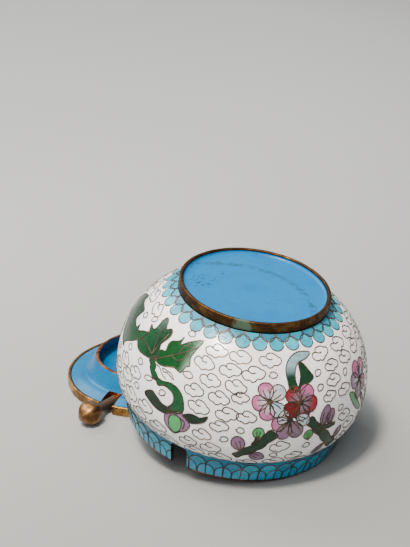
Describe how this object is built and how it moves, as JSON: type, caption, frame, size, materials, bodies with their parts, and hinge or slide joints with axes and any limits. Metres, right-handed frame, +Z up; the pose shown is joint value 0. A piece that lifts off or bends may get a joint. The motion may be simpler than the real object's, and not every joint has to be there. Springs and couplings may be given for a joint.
{
  "type": "cloisonne incense burner",
  "caption": "Round cloisonne pot lying upside down against its upturned lid, with a notched collar, a brass foot ring and a bud knob at the lid's edge.",
  "frame": {"origin": "on the table, under the middle of the bounding box", "axes": "+Z up from the table, -Y towards the side the picture shows, +X to the right there"},
  "size_m": [0.1194, 0.13, 0.07],
  "materials": {
    "white_enamel": "glossy white enamel with wire clouds and flowers, turquoise scale borders, blue enamel under the base",
    "blue_enamel": "glossy plain blue enamel on copper",
    "tarnished_brass": "worn dark brass with a green spot",
    "gilt_brass": "rubbed gilt brass",
    "bud_brass": "cast brass with brown patina in the hollows"
  },
  "bodies": {
    "root": {"pot_body": "white_enamel", "foot_ring": "tarnished_brass", "lid_plate": "blue_enamel", "lid_band": "gilt_brass", "lid_knob": "bud_brass"}
  },
  "joints": []
}
